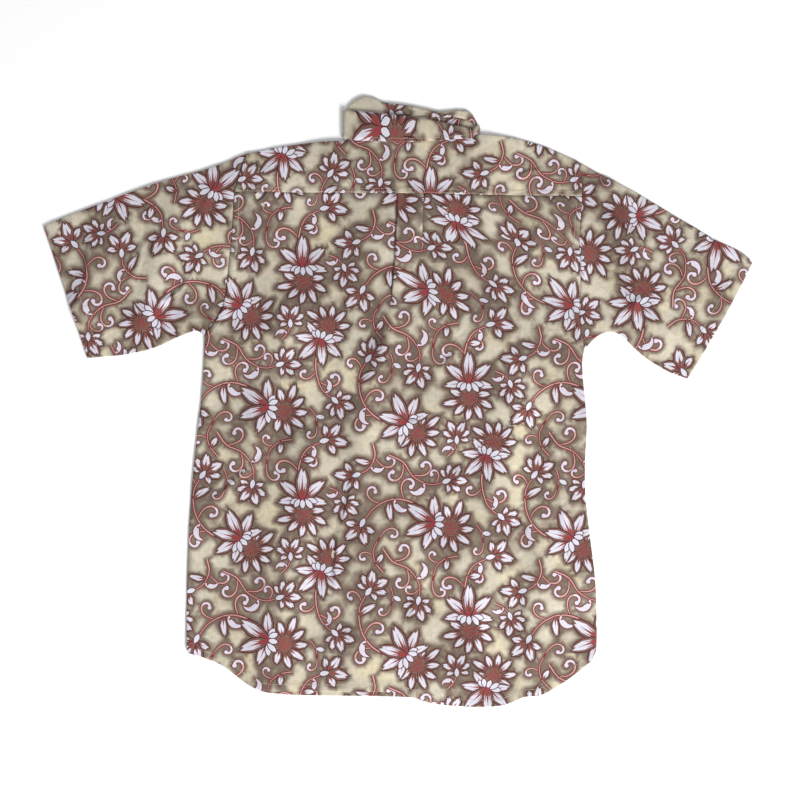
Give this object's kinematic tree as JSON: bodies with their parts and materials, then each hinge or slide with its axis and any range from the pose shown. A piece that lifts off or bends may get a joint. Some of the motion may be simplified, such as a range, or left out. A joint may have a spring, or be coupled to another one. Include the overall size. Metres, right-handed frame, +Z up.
{
  "type": "short-sleeved hawaiian shirt, laid flat on its front",
  "caption": "Floral short-sleeved shirt laid flat, back up, with a box-pleated back, yoke, turn-down collar, set-in sleeves and a curved hem.",
  "frame": {"origin": "on the floor under the middle of the garment's box", "axes": "+X to the right seen from above, across the sleeves; +Y towards the collar; +Z up, away from the surface it lies on"},
  "size_m": [0.9705, 0.8345, 0.0116],
  "materials": {
    "printed_cloth": "plain-woven soft cotton or rayon, matt, taupe and cream ground printed with white and dark red flowers and scrolls",
    "button": "polished brown shell-like button"
  },
  "bodies": {
    "root": {"back": "printed_cloth", "yoke": "printed_cloth", "front_left": "printed_cloth", "front_right": "printed_cloth", "sleeve_left": "printed_cloth", "sleeve_right": "printed_cloth", "collar_stand": "printed_cloth", "collar_leaf": "printed_cloth", "button_1": "button", "button_2": "button", "button_3": "button", "button_4": "button", "button_5": "button", "button_6": "button", "button_collar": "button"}
  },
  "joints": []
}
